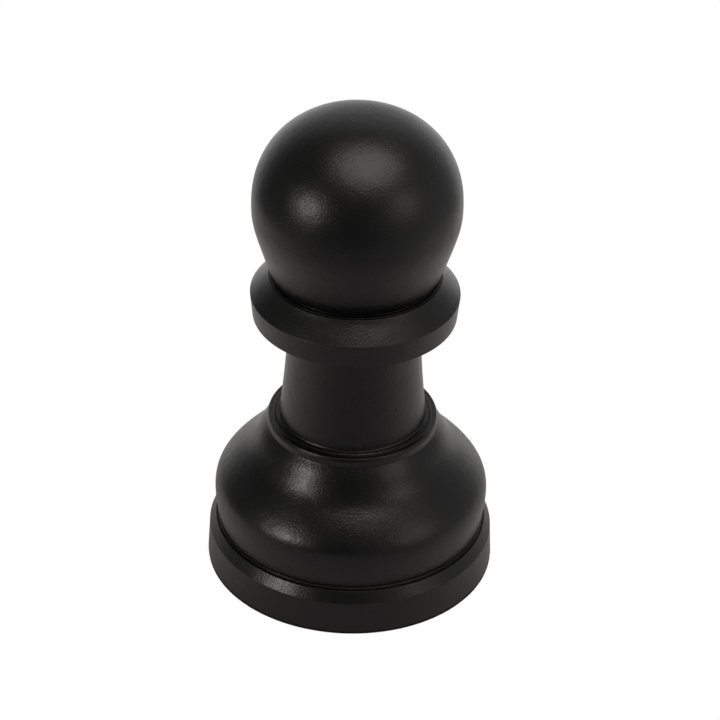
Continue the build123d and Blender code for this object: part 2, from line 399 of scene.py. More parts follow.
# %% Turn the bun
NECK_RADIUS = 33.8 * MM
NECK_WALL = 4.1 * MM        # height of the ring's side
NECK_LEAN = 1.7 * MM        # height of the part of it that leans in
NECK_TOP_RADIUS = 33.3 * MM
NECK_EDGE = 0.4 * MM
NECK_DROP = 0.35 * MM       # the ring's top edge lies this far below the stem's foot
NECK_DISH = 0.1 * MM        # and the flat top falls this much more towards the bead
NECK_BEAD_RADIUS = 30.9 * MM
NECK_BEAD_WIDTH = 0.6 * MM
NECK_BEAD_DROP = 0.15 * MM
NECK_GROOVE = 0.45 * MM
BUN_FOOT_RADIUS = 53.3 * MM
BUN_FOOT_HEIGHT = 0.5 * MM
BUN_ROWS = 130
BUN_CURVE = outline(        # radius and height above the table, in millimetres
    (52.85, 19.0),
    (53.6, 22.2),
    (54.2, 26.3),
    (54.6, 31.3),
    (54.0, 36.2),
    (51.7, 40.3),
    (45.35, 47.3),
    (42.05, 50.6),
    (39.35, 54.3),
    (37.5, 57.6),
    (35.8, 60.5),
    (NECK_RADIUS / MM, (bun_top - NECK_WALL) / MM),
) * MM

neck_top = bun_top - NECK_DROP
lean_corner = (NECK_RADIUS, bun_top - NECK_LEAN)
bun_foot_corner = (BUN_FOOT_RADIUS, bun_bottom + BUN_FOOT_HEIGHT)
bun_line = np.concatenate([
    outline((0, bun_bottom), (BUN_FOOT_RADIUS, bun_bottom), bun_foot_corner),
    smooth_curve(BUN_CURVE, BUN_ROWS),
    outline(
        lean_corner,
        (NECK_TOP_RADIUS, neck_top),
        (NECK_BEAD_RADIUS + NECK_BEAD_WIDTH, neck_top - NECK_DISH),
        (NECK_BEAD_RADIUS + NECK_BEAD_WIDTH / 2, bun_top - NECK_BEAD_DROP),
        (NECK_BEAD_RADIUS, bun_top - NECK_BEAD_DROP),
        (NECK_BEAD_RADIUS - NECK_BEAD_WIDTH / 2, bun_top - NECK_GROOVE),
        (stem_foot_radius, bun_top - NECK_GROOVE),
        (stem_foot_radius, bun_top),
        (dowel_radius, bun_top),
        (dowel_radius, stem_dowel_bottom - GLUE_GAP),
        (0, stem_dowel_bottom - GLUE_GAP),
    ),
])
bun_line = soften(bun_line, bun_foot_corner, FINE_EDGE)
bun_line = soften(bun_line, lean_corner, NECK_EDGE)
bun_line = soften(bun_line, (NECK_TOP_RADIUS, neck_top), NECK_EDGE)
turned("turned_bun", spaced(bun_line), in_bore)
print("bun: fullest radius", round(bun_line.real.max() / MM, 2), "mm")

# %% [markdown]
# ## The plinth
# The foot of the pawn: a side that leans in slightly, a bevel, and a shallow groove that sets off the bun's
# fillet. Underneath is a round pocket for the weight. The edges of its side are as soft as the collar's, and
# the one at the groove is crisper.

# %% Turn the plinth
PLINTH_SIDE_RADIUS = 56.9 * MM
PLINTH_SIDE_TOP = 14.2 * MM
PLINTH_BEVEL_RADIUS = 54.3 * MM
GROOVE_DEPTH = 0.35 * MM

plinth_radius = widest("plinth")
groove_radius = (PLINTH_BEVEL_RADIUS + BUN_FOOT_RADIUS) / 2
plinth_line = outline(
    (0, weight_top),
    (pocket_radius, weight_top),
    (pocket_radius, plinth_bottom),
    (plinth_radius, plinth_bottom),
    (PLINTH_SIDE_RADIUS, PLINTH_SIDE_TOP),
    (PLINTH_BEVEL_RADIUS, plinth_top),
    (groove_radius, plinth_top - GROOVE_DEPTH),
    (BUN_FOOT_RADIUS, plinth_top),
    (0, plinth_top),
)
for corner in ((plinth_radius, plinth_bottom), (PLINTH_SIDE_RADIUS, PLINTH_SIDE_TOP)):
    plinth_line = soften(plinth_line, corner, EDGE)
plinth_line = soften(plinth_line, (PLINTH_BEVEL_RADIUS, plinth_top), FINE_EDGE)
turned("turned_plinth", spaced(plinth_line), in_pocket)
print("plinth: foot radius", round(plinth_radius / MM, 2), "mm")

# %% [markdown]
# ## Dowels
# Two fluted beech pins line up the turned pieces. The flutes let air and spare glue out of the blind holes.
# They are real grooves here, cut into the radius as the pin is turned: `depth * max(0, cos(n * a)) ** 3`.

# %% Turn and flute the dowels
FLUTES = 20
FLUTE_DEPTH = 0.45 * MM
FLUTE_COLUMNS = 12          # columns of the mesh for each flute
DOWEL_CHAMFER = 1.0 * MM


def fluted(radius, angle, height):
    """Cut narrow grooves along a pin; they fade out where the chamfer makes it thinner."""
    groove = np.maximum(0, np.cos(FLUTES * angle)) ** 3
    full = np.clip((radius - dowel_radius + DOWEL_CHAMFER) / DOWEL_CHAMFER, 0, 1)
    return radius - FLUTE_DEPTH * groove * full, height


def dowel(name, bottom, top):
    """A pin between two heights, with a chamfer at each end."""
    slim = dowel_radius - DOWEL_CHAMFER
    line = outline(
        (0, bottom),
        (slim, bottom),
        (dowel_radius, bottom + DOWEL_CHAMFER),
        (dowel_radius, top - DOWEL_CHAMFER),
        (slim, top),
        (0, top),
    )
    return turned(name, spaced(line), columns=FLUTES * FLUTE_COLUMNS, carve=fluted)


dowel("fluted_head_dowel", head_dowel_bottom, head_dowel_top)
dowel("fluted_stem_dowel", stem_dowel_bottom, stem_dowel_top)
print("dowels:", FLUTES, "flutes each")

# %% [markdown]
# ## Wood screws
# Three countersunk screws pull the plinth up against the bun. A thread is a radius that depends on how far a
# point lies along the helix: `height / pitch - angle / (2 pi)`, of which only the fraction matters. The
# crosshead recess is cut the same way, by lifting the points of the head's face that lie inside the cross.

# %% Cut the screws
SCREW_HEAD_RADIUS = 4.0 * MM
SCREW_RADIUS = 2.0 * MM
SCREW_CORE_RADIUS = 1.35 * MM
SCREW_HEAD_HEIGHT = 2.3 * MM
SCREW_RIM_HEIGHT = 0.1 * MM  # thickness of the head at its edge
SCREW_FACE_ROWS = 26        # rows of the mesh across the head, so that the cross comes out clean
SCREW_TIP_LENGTH = 4.0 * MM
SCREW_TIP_RADIUS = 0.4 * MM
SCREW_PITCH = 1.8 * MM
SCREW_PLAIN_LENGTH = 6.0 * MM
THREAD_FADE = 12            # the thread reaches its full depth over one twelfth of its length
SCREW_COLUMNS = 48
SCREW_ROWS_PER_TURN = 12
CROSS_ARM = 2.3 * MM
CROSS_HALF_WIDTH = 0.45 * MM
CROSS_DEPTH = 1.5 * MM


def threaded(radius, angle, height):
    """Thread the shank and sink a cross into the face of the head."""
    along = (height - screw_bottom - SCREW_PLAIN_LENGTH) / (screw_top - screw_bottom - SCREW_PLAIN_LENGTH)
    turns = height / SCREW_PITCH - angle / (2 * pi)
    crest = 1 - abs(2 * (turns - np.floor(turns)) - 1)
    cut = (SCREW_RADIUS - SCREW_CORE_RADIUS) * (1 - crest**2) * np.clip(along * THREAD_FADE, 0, 1)
    x, y = abs(radius * np.cos(angle)), abs(radius * np.sin(angle))
    arm = np.minimum(np.maximum(x, y) < CROSS_ARM, np.minimum(x, y) < CROSS_HALF_WIDTH)
    sunk = CROSS_DEPTH * arm * (height < screw_bottom + EDGE / 2)
    return np.where(along > 0, np.minimum(radius, np.maximum(radius - cut, 0)), radius), height + sunk


screw_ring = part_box("plinth_screws")[1].y - SCREW_HEAD_RADIUS
shank_rows = int((screw_top - screw_bottom) / SCREW_PITCH * SCREW_ROWS_PER_TURN)
shank_z = np.linspace(screw_bottom + SCREW_HEAD_HEIGHT, screw_top - 0.01 * MM, shank_rows)
shank_share = np.clip((screw_top - shank_z) / SCREW_TIP_LENGTH, 0, 1)
shank = SCREW_TIP_RADIUS + (SCREW_RADIUS - SCREW_TIP_RADIUS) * shank_share + 1j * shank_z
face_rows = np.linspace(0, SCREW_HEAD_RADIUS - 0.05 * MM, SCREW_FACE_ROWS) + 1j * screw_bottom
screw_line = np.concatenate([
    face_rows,
    outline((SCREW_HEAD_RADIUS, screw_bottom + SCREW_RIM_HEIGHT)),
    shank,
    outline((0, screw_top)),
])


def screw(name, bearing):
    """One screw, moved from the axis to its place on the ring."""
    piece = turned(name, screw_line, columns=SCREW_COLUMNS, carve=threaded)
    place = Vector((screw_ring * cos(bearing), screw_ring * sin(bearing), 0))
    piece.data.transform(Matrix.Translation(place))
    return piece


SCREW_COUNT = 3
screw_names = [f"wood_screw_{number + 1}" for number in range(SCREW_COUNT)]
for number, name in enumerate(screw_names):
    screw(name, pi / 2 + 2 * pi * number / SCREW_COUNT)
print("screws on a ring of", round(screw_ring / MM, 1), "mm")

# %% [markdown]
# ## Weight and cover
# A sawn steel disc makes the pawn hard to knock over, and a hardboard disc glued over it gives the felt a
# flat face to stick to. Both are plain turned discs, with the small edges that a file and a saw leave.

# %% Make the weight and its cover
WEIGHT_CHAMFER = 0.5 * MM
SAWN_EDGE = 0.1 * MM


def disc(name, radius, bottom, top, edge):
    """A flat disc with its two edges taken off."""
    line = outline((0, bottom), (radius, bottom), (radius, top), (0, top))
    for height in (bottom, top):
        line = soften(line, (radius, height), edge)
    return turned(name, spaced(line))


disc("steel_weight", widest("weight"), weight_bottom, weight_top, WEIGHT_CHAMFER)
cover_bottom, cover_top = heights("weight_cover")
disc("hardboard_cover", pocket_radius, cover_bottom, cover_top, SAWN_EDGE)
print("weight:", round((weight_top - weight_bottom) / MM, 1), "mm thick")

# %% [markdown]
# ## The felt pad
# Felt has no weave: it is a mat of short wool fibres. The pad was cut with a punch, so its rim wanders by a
# tenth of a millimetre, and loose fibres stand out of it all round. They are far too thin to see one by
# one, but together they make the soft dark line under the pawn. A particle system would hide the fibres from
# the exported mesh, so each is a real tapered tube: a triangle carried along a bent path.

# %% Cut the felt and let its fibres out
FELT_SEED = 11
FIBRES = 1500
FIBRE_RADIUS = 0.022 * MM
FIBRE_LENGTHS = (0.25 * MM, 1.1 * MM)
FIBRE_LEAN = 0.8            # spread of the direction away from straight out, in radians
FIBRE_RISE = 0.25           # spread of the rise per length
FIBRE_CURL = 0.35           # spread of the bend per length
FIBRE_TAPER = 0.7           # share of its radius that a fibre loses towards its tip
FIBRE_STEPS = 5
FIBRE_SIDES = 3
FELT_COLUMNS = 480
RIM_WAVES = (5, 11, 17, 29, 53)
RIM_WANDER = 0.06 * MM
RIM_SWELL = 0.08 * MM       # how far the felt bulges at the middle of its thickness

felt_bottom, felt_top = heights("felt_pad")
felt_radius = widest("felt_pad")


def ragged(radius, angle, height):
    """Let the rim wander by a sum of sin(n * angle) / n, and bulge at the middle of the felt's thickness."""
    waves = sum(np.sin(n * angle + 1.7 * n) / n for n in RIM_WAVES)
    swell = np.sin(pi * np.clip((height - felt_bottom) / (felt_top - felt_bottom), 0, 1))
    near_rim = np.clip(radius / felt_radius * 20 - 19, 0, 1)
    return radius + near_rim * (RIM_WANDER * waves + RIM_SWELL * swell), height


felt_line = outline((0, felt_bottom), (felt_radius, felt_bottom), (felt_radius, felt_top), (0, felt_top))
turned("felt_disc", spaced(felt_line, gap=0.9 * MM), columns=FELT_COLUMNS, carve=ragged)


def fibre_tubes(name, count, seed):
    """Bent, tapered tubes that leave the rim of the felt.

    A fibre's path is start + out * length * t + curl * t ** 2, and its three sides are that path plus a
    triangle of radius FIBRE_RADIUS * (1 - FIBRE_TAPER * t) in the plane across it.
    """
    draw = np.random.default_rng(seed)
    angle = draw.uniform(0, 2 * pi, count)
    lean = angle + draw.normal(0, FIBRE_LEAN, count)
    length = draw.uniform(*FIBRE_LENGTHS, count)
    height = draw.uniform(felt_bottom + 0.08 * MM, felt_top - 0.05 * MM, count)
    rise = draw.normal(0, FIBRE_RISE, count)
    t = np.linspace(0, 1, FIBRE_STEPS)[None, :, None]
    start = np.stack([np.cos(angle), np.sin(angle), 0 * angle], 1) * (felt_radius - 0.1 * MM)
    start[:, 2] = height
    out = np.stack([np.cos(lean), np.sin(lean), rise], 1)
    curl = draw.normal(0, FIBRE_CURL, (count, 3)) * length[:, None]
    path = start[:, None] + (out * length[:, None])[:, None] * t + curl[:, None] * t**2
    path[..., 2] = np.clip(path[..., 2], felt_bottom + 0.03 * MM, felt_top + 0.3 * MM)
    across = np.stack([-np.sin(lean), np.cos(lean), 0 * lean], 1)
    over = np.cross(out, across)
    turn = 2 * pi * np.arange(FIBRE_SIDES) / FIBRE_SIDES
    ring = across[:, None] * np.cos(turn)[None, :, None] + over[:, None] * np.sin(turn)[None, :, None]
    points = path[:, :, None] + ring[:, None] * (FIBRE_RADIUS * (1 - FIBRE_TAPER * t))[..., None]
    ids = np.arange(points[..., 0].size).reshape(points.shape[:3])
    low, high = ids[:, :-1], ids[:, 1:]
    sides = np.stack([low, np.roll(low, -1, 2), np.roll(high, -1, 2), high], axis=3)
    faces = sides.reshape(-1, 4).tolist() + ids[:, 0, ::-1].tolist() + ids[:, -1].tolist()
    return mesh_piece(name, points.reshape(-1, 3), faces)


fibre_tubes("felt_fibres", FIBRES, FELT_SEED)
print("felt:", round((felt_top - felt_bottom) / MM, 2), "mm thick, with", FIBRES, "loose fibres")

# %% [markdown]
# ## Finishes as node groups
# The lacquer, the wood, the steel and the felt share a few effects: the fine ripple of sprayed paint, dust
# caught in it, worn edges, wood grain, and the mat of fibres. Each is a node group with named inputs, built
# once, so a material reads as a short list of what the finish has. All of them read positions on the piece,
# in metres, so a pitch of 0.8 mm is 0.8 mm on every piece.

# %% Helpers for node trees
def node(tree, kind, inputs=None, **settings):
    """Add a node. Its settings are set, and each input is linked to a socket or given a value."""
    added = tree.nodes.new(kind)
    for name, value in settings.items():
        setattr(added, name, value)
    for name, value in (inputs or {}).items():
        if isinstance(value, bpy.types.NodeSocket):
            tree.links.new(value, added.inputs[name])
        else:
            added.inputs[name].default_value = value
    return added


def calculate(tree, operation, *values):
    """A Math node on sockets or numbers; gives its result."""
    return node(tree, "ShaderNodeMath", dict(enumerate(values)), operation=operation).outputs[0]


def ramp(tree, value, from_low, from_high, to_low=0.0, to_high=1.0):
    """A soft step: the value between two limits, spread smoothly between two others."""
    names = ("Value", "From Min", "From Max", "To Min", "To Max")
    inputs = dict(zip(names, (value, from_low, from_high, to_low, to_high)))
    return node(tree, "ShaderNodeMapRange", inputs, interpolation_type="SMOOTHSTEP").outputs["Result"]


def blend(tree, share, first, second):
    """Mix two colours by a share from 0 to 1."""
    mix = node(tree, "ShaderNodeMix", {0: share, 6: first, 7: second}, data_type="RGBA")
    return mix.outputs[2]


def noise(tree, position, scale, detail=2.0, roughness=0.5):
    """Noise from 0 to 1 at a position; scale counts its features per metre."""
    inputs = {"Vector": position, "Scale": scale, "Detail": detail, "Roughness": roughness}
    return node(tree, "ShaderNodeTexNoise", inputs).outputs["Fac"]


def stretched(tree, position, factors):
    """The position multiplied by a factor along each axis, to draw a pattern out."""
    scaled = node(tree, "ShaderNodeVectorMath", {0: position, 1: factors}, operation="MULTIPLY")
    return scaled.outputs[0]


def new_group(name, inputs, outputs):
    """Start a node group from (name, default) inputs and (name, kind) outputs.

    Gives its tree, the sockets to read inside it and the sockets to fill. A default of None means a vector.
    """
    kinds = {float: "NodeSocketFloat", tuple: "NodeSocketColor", type(None): "NodeSocketVector"}
    tree = bpy.data.node_groups.new(name, "ShaderNodeTree")
    for label, value in inputs:
        socket = tree.interface.new_socket(label, in_out="INPUT", socket_type=kinds[type(value)])
        if value is not None:
            socket.default_value = value
    for label, kind in outputs:
        tree.interface.new_socket(label, in_out="OUTPUT", socket_type=kind)
    return tree, node(tree, "NodeGroupInput").outputs, node(tree, "NodeGroupOutput").inputs


def use(tree, group, **inputs):
    """Place a group in a material; spaces in its input names are written as underscores."""
    named = {name.replace("_", " "): value for name, value in inputs.items()}
    return node(tree, "ShaderNodeGroup", named, node_tree=bpy.data.node_groups[group]).outputs


print("node helpers ready")

# %% [markdown]
# ## Sprayed lacquer: ripple, dust and haze
# Sprayed paint never dries quite flat. It keeps a ripple like the skin of an orange, about 0.8 mm from crest
# to crest and a few hundredths of a millimetre high, and that is what breaks a lamp's reflection into grains.
# A few specks of dust dry into the film. Handling leaves faint patches where the film is a little duller.

# %% Build the lacquer groups
FLOAT, COLOUR = "NodeSocketFloat", "NodeSocketColor"

tree, given, result = new_group("Orange peel", [("Position", None), ("Pitch", 0.8 * MM)], [("Height", FLOAT)])
per_metre = calculate(tree, "DIVIDE", 1.0, given["Pitch"])
coarse = noise(tree, given["Position"], per_metre, detail=1.0, roughness=0.45)
broad = noise(tree, given["Position"], calculate(tree, "MULTIPLY", per_metre, 0.22), detail=0.0)
height = calculate(tree, "ADD", coarse, calculate(tree, "MULTIPLY", broad, 0.8))
tree.links.new(height, result["Height"])

tree, given, result = new_group(
    "Dust nibs",
    [("Position", None), ("Spacing", 8.0 * MM), ("Radius", 0.3 * MM)],
    [("Mask", FLOAT)],
)
cells = {"Vector": given["Position"], "Scale": calculate(tree, "DIVIDE", 1.0, given["Spacing"])}
distance = node(tree, "ShaderNodeTexVoronoi", cells).outputs["Distance"]
reach = calculate(tree, "MULTIPLY", distance, given["Spacing"])
tree.links.new(ramp(tree, reach, given["Radius"], 0.0), result["Mask"])

tree, given, result = new_group(
    "Handling haze", [("Position", None), ("Clean", 0.3), ("Dull", 0.4)], [("Roughness", FLOAT)]
)
patches = noise(tree, given["Position"], 45.0, detail=3.0, roughness=0.6)
smears = noise(tree, stretched(tree, given["Position"], (1.0, 1.0, 0.35)), 420.0, detail=2.0)
mixed = calculate(tree, "MULTIPLY_ADD", smears, 0.35, calculate(tree, "MULTIPLY", patches, 0.65))
tree.links.new(ramp(tree, mixed, 0.35, 0.68, given["Clean"], given["Dull"]), result["Roughness"])

tree, given, result = new_group("Edge wear", [("Position", None), ("Amount", 0.5)], [("Mask", FLOAT)])
pointed = node(tree, "ShaderNodeNewGeometry").outputs["Pointiness"]
ridge = ramp(tree, pointed, 0.53, 0.62)
rubbed = ramp(tree, noise(tree, given["Position"], 700.0, detail=4.0, roughness=0.7), 0.5, 0.7)
worn = calculate(tree, "MULTIPLY", calculate(tree, "MULTIPLY", ridge, rubbed), given["Amount"])
tree.links.new(worn, result["Mask"])
print("lacquer groups:", [group.name for group in bpy.data.node_groups])

# %% [markdown]
# ## Wood, fibre and metal groups
# Bare beech shows fine rings and short dark flecks along the grain, which runs up the pawn. Felt and
# hardboard are both mats of fibres at different scales: two noises drawn out along X and along Y, whose
# positions a slow noise pushes about, so that the fibres curl. Turned things keep the tool's fine rings.

# %% Build the wood, fibre and metal groups
tree, given, result = new_group(
    "Beech grain",
    [("Position", None), ("Light", (0.62, 0.42, 0.26, 1.0)), ("Dark", (0.42, 0.25, 0.14, 1.0))],
    [("Color", COLOUR), ("Height", FLOAT)],
)
bends = {"Vector": given["Position"], "Scale": 22.0, "Detail": 2.0}
bent = node(tree, "ShaderNodeTexNoise", bends).outputs["Color"]
sway = node(tree, "ShaderNodeVectorMath", {0: bent, "Scale": 6.0 * MM}, operation="SCALE").outputs[0]
wood = node(tree, "ShaderNodeVectorMath", {0: given["Position"], 1: sway}, operation="ADD").outputs[0]
board = node(tree, "ShaderNodeMapping", {"Vector": wood, "Location": (60.0 * MM, 25.0 * MM, 0.0)}).outputs[0]
rings = node(
    tree, "ShaderNodeTexWave", {"Vector": board, "Scale": 95.0, "Distortion": 1.2, "Detail": 2.0},
    wave_type="RINGS", rings_direction="Z",
).outputs["Fac"]
drawn_out = stretched(tree, given["Position"], (1.0, 1.0, 0.18))
flecks = ramp(tree, noise(tree, drawn_out, 1500.0, detail=1.0), 0.62, 0.75)
share = calculate(tree, "MULTIPLY_ADD", flecks, 0.5, calculate(tree, "MULTIPLY", rings, 0.55))
tree.links.new(blend(tree, share, given["Light"], given["Dark"]), result["Color"])
tree.links.new(calculate(tree, "SUBTRACT", 1.0, flecks), result["Height"])

tree, given, result = new_group(
    "Fibre mat",
    [
        ("Position", None),
        ("Fibre Width", 0.1 * MM),
        ("Light", (0.5, 0.5, 0.5, 1.0)),
        ("Dark", (0.1, 0.1, 0.1, 1.0)),
    ],
    [("Color", COLOUR), ("Height", FLOAT)],
)
per_metre = calculate(tree, "DIVIDE", 0.4, given["Fibre Width"])
slow = calculate(tree, "DIVIDE", 0.05, given["Fibre Width"])
swirl = node(tree, "ShaderNodeTexNoise", {"Vector": given["Position"], "Scale": slow}).outputs["Color"]
reach = calculate(tree, "MULTIPLY", given["Fibre Width"], 24.0)
push = node(tree, "ShaderNodeVectorMath", {0: swirl, "Scale": reach}, operation="SCALE").outputs[0]
curled = node(tree, "ShaderNodeVectorMath", {0: given["Position"], 1: push}, operation="ADD").outputs[0]
lengthways = noise(tree, stretched(tree, curled, (0.25, 1.0, 1.0)), per_metre, detail=3.0)
across = noise(tree, stretched(tree, curled, (1.0, 0.25, 1.0)), per_metre, detail=3.0)
mat = calculate(tree, "MAXIMUM", lengthways, across)
tree.links.new(blend(tree, ramp(tree, mat, 0.4, 0.75), given["Dark"], given["Light"]), result["Color"])
tree.links.new(mat, result["Height"])

tree, given, result = new_group("Tool rings", [("Position", None), ("Pitch", 0.25 * MM)], [("Height", FLOAT)])
split = node(tree, "ShaderNodeSeparateXYZ", {0: given["Position"]}).outputs
flat = node(tree, "ShaderNodeCombineXYZ", {"X": split["X"], "Y": split["Y"]}).outputs[0]
radius = node(tree, "ShaderNodeVectorMath", {0: flat}, operation="LENGTH").outputs["Value"]
ring_place = node(tree, "ShaderNodeCombineXYZ", {"X": radius, "Z": split["Z"]}).outputs[0]
tool = noise(tree, ring_place, calculate(tree, "DIVIDE", 1.0, given["Pitch"]), detail=2.0, roughness=0.6)
tree.links.new(tool, result["Height"])
print("all groups:", [group.name for group in bpy.data.node_groups])

# %% [markdown]
# ## The materials
# The lacquer is nearly black and only its surface reflects, so its look lies in its roughness and its bump.
# A roughness near a third blurs a lamp into a patch with a soft edge, as satin paint does. It could be a wood
# shader under a clear coat, but no wood shows through this paint, so one layer is honest and simpler.

# %% Mix the lacquer
materials = {}


def new_material(name):
    """A material with a Principled BSDF; gives its tree, the shader's inputs and the Object coordinates."""
    material = bpy.data.materials.new(name)
    material.use_nodes = True
    materials[name] = material
    tree = material.node_tree
    position = node(tree, "ShaderNodeTexCoord").outputs["Object"]
    return tree, tree.nodes["Principled BSDF"].inputs, position


def bump(tree, height, distance, under=None):
    """A Bump node of a real height in metres, on top of another one if given."""
    inputs = {"Height": height, "Distance": distance}
    if under is not None:
        inputs["Normal"] = under
    return node(tree, "ShaderNodeBump", inputs).outputs["Normal"]


PEEL_PITCH, PEEL_HEIGHT = 0.8 * MM, 0.08 * MM
TURNING_PITCH, TURNING_HEIGHT = 0.5 * MM, 0.006 * MM
NIB_SPACING, NIB_RADIUS, NIB_HEIGHT = 8.0 * MM, 0.3 * MM, 0.12 * MM
GLOSS_CLEAN, GLOSS_DULL = 0.34, 0.4
WEAR_AMOUNT = 0.5
WEAR_ROUGHER = 0.2             # how much rougher a rubbed edge is
LACQUER = (0.0023, 0.0021, 0.0022, 1.0)
LACQUER_RUBBED = (0.018, 0.016, 0.015, 1.0)
DUST_COLOUR = (0.05, 0.047, 0.044, 1.0)
GRIPPED_FROM = (0.06, 0.13)    # heights between which the gloss drops, as a pawn is lifted by its head
KEPT_GLOSS = 0.035             # how much smoother the bun and plinth have stayed

tree, lacquer, position = new_material("black_lacquer")
worn = use(tree, "Edge wear", Position=position, Amount=WEAR_AMOUNT)["Mask"]
haze = use(tree, "Handling haze", Position=position, Clean=GLOSS_CLEAN, Dull=GLOSS_DULL)["Roughness"]
peel = use(tree, "Orange peel", Position=position, Pitch=PEEL_PITCH)["Height"]
nibs = use(tree, "Dust nibs", Position=position, Spacing=NIB_SPACING, Radius=NIB_RADIUS)["Mask"]
specks = blend(tree, nibs, blend(tree, worn, LACQUER, LACQUER_RUBBED), DUST_COLOUR)
tree.links.new(specks, lacquer["Base Color"])
height = node(tree, "ShaderNodeSeparateXYZ", {0: position}).outputs["Z"]
gripped = ramp(tree, height, *GRIPPED_FROM, -KEPT_GLOSS, 0.0)
hazed = calculate(tree, "ADD", haze, gripped)
tree.links.new(calculate(tree, "MULTIPLY_ADD", worn, WEAR_ROUGHER, hazed), lacquer["Roughness"])
turning = use(tree, "Tool rings", Position=position, Pitch=TURNING_PITCH)["Height"]
under = bump(tree, peel, PEEL_HEIGHT, bump(tree, turning, TURNING_HEIGHT))
tree.links.new(bump(tree, nibs, NIB_HEIGHT, under), lacquer["Normal"])
lacquer["IOR"].default_value = 1.5
print("lacquer nodes:", len(tree.nodes))

# %% [markdown]
# ## Wood, hardboard, felt and steel
# These are inside or under the pawn. They matter when it is turned over or taken apart, so they are made from
# the same groups: bare beech for the bores and dowels, brown hardboard, black felt with a soft sheen, plated
# screws and a dull steel weight with a little rust bloom.

# %% Mix the other finishes
FELT_LIGHT = (0.024, 0.023, 0.0255, 1.0)
FELT_DARK = (0.007, 0.007, 0.008, 1.0)
FELT_CLUMP = (0.012, 0.0115, 0.0125, 1.0)
BOARD_LIGHT = (0.22, 0.12, 0.06, 1.0)
BOARD_DARK = (0.09, 0.045, 0.022, 1.0)
ZINC_YELLOW = (0.62, 0.6, 0.5, 1.0)
ZINC_GREY = (0.72, 0.72, 0.7, 1.0)
STEEL = (0.28, 0.27, 0.26, 1.0)
RUST = (0.13, 0.055, 0.025, 1.0)

tree, beech, position = new_material("bare_beech")
grain = use(tree, "Beech grain", Position=position)
tree.links.new(grain["Color"], beech["Base Color"])
tree.links.new(ramp(tree, grain["Height"], 0.0, 1.0, 0.75, 0.6), beech["Roughness"])
tree.links.new(bump(tree, grain["Height"], 0.05 * MM), beech["Normal"])

tree, board, position = new_material("brown_hardboard")
mat = use(
    tree, "Fibre mat", Position=position, Fibre_Width=0.25 * MM,
    Light=BOARD_LIGHT, Dark=BOARD_DARK,
)
tree.links.new(mat["Color"], board["Base Color"])
tree.links.new(ramp(tree, mat["Height"], 0.3, 0.8, 0.5, 0.7), board["Roughness"])
tree.links.new(bump(tree, mat["Height"], 0.04 * MM), board["Normal"])

tree, felt, position = new_material("black_wool_felt")
mat = use(
    tree, "Fibre mat", Position=position, Fibre_Width=0.06 * MM,
    Light=FELT_LIGHT, Dark=FELT_DARK,
)
clumps = ramp(tree, noise(tree, position, 180.0, detail=3.0), 0.3, 0.7, 0.0, 0.5)
tree.links.new(blend(tree, clumps, mat["Color"], FELT_CLUMP), felt["Base Color"])
tree.links.new(ramp(tree, mat["Height"], 0.3, 0.8, 1.0, 0.85), felt["Roughness"])
tree.links.new(bump(tree, mat["Height"], 0.03 * MM), felt["Normal"])
felt["Sheen Weight"].default_value = 0.04
felt["Specular IOR Level"].default_value = 0.15
felt["Sheen Roughness"].default_value = 0.4

tree, plated, position = new_material("plated_steel")
tool = use(tree, "Tool rings", Position=position, Pitch=0.4 * MM)["Height"]
blotch = noise(tree, position, 900.0, detail=3.0)
tree.links.new(blend(tree, blotch, ZINC_YELLOW, ZINC_GREY), plated["Base Color"])
tree.links.new(ramp(tree, blotch, 0.3, 0.7, 0.28, 0.42), plated["Roughness"])
tree.links.new(bump(tree, tool, 0.01 * MM), plated["Normal"])
plated["Metallic"].default_value = 1.0

tree, raw, position = new_material("raw_steel")
tool = use(tree, "Tool rings", Position=position, Pitch=0.3 * MM)["Height"]
rust = ramp(tree, noise(tree, position, 130.0, detail=5.0, roughness=0.65), 0.56, 0.72)
tree.links.new(blend(tree, rust, STEEL, RUST), raw["Base Color"])
tree.links.new(calculate(tree, "SUBTRACT", 1.0, rust), raw["Metallic"])
tree.links.new(ramp(tree, rust, 0.0, 1.0, 0.42, 0.85), raw["Roughness"])
tree.links.new(bump(tree, tool, 0.02 * MM), raw["Normal"])
print("materials:", sorted(materials))

# %% [markdown]
# ## Putting the finishes on
# Turned pieces have two material slots: lacquer outside, and bare beech in the bores and the pocket, which
# were drilled after spraying or masked.

# %% Give each piece its material, its body and its CAD nodes
TURNED_FINISH = ("black_lacquer", "bare_beech")
PLAN = {                    # piece: (materials, CAD node it stands for, material slot in the record)
    "turned_head": (TURNED_FINISH, "head", "black_lacquer"),
    "turned_collar": (TURNED_FINISH, "collar", "black_lacquer"),
    "turned_stem": (TURNED_FINISH, "stem", "black_lacquer"),
    "turned_bun": (TURNED_FINISH, "bun", "black_lacquer"),
    "turned_plinth": (TURNED_FINISH, "plinth", "black_lacquer"),
    "fluted_head_dowel": (("bare_beech",), "head_dowel", "beech"),
    "fluted_stem_dowel": (("bare_beech",), "stem_dowel", "beech"),
    "steel_weight": (("raw_steel",), "weight", "raw_steel"),
    "hardboard_cover": (("brown_hardboard",), "weight_cover", "hardboard"),
    "felt_disc": (("black_wool_felt",), "felt_pad", "black_felt"),
    "felt_fibres": (("black_wool_felt",), "felt_pad", "black_felt"),
}
PLAN.update({name: (("plated_steel",), "plinth_screws", "plated_steel") for name in screw_names})

for name, (finishes, cad_node, record_slot) in PLAN.items():
    piece = pieces[name]
    for finish in finishes:
        piece.data.materials.append(materials[finish])
    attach(piece, "root")
    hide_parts(cad_node)
print(len(PLAN), "pieces ride on the frame")

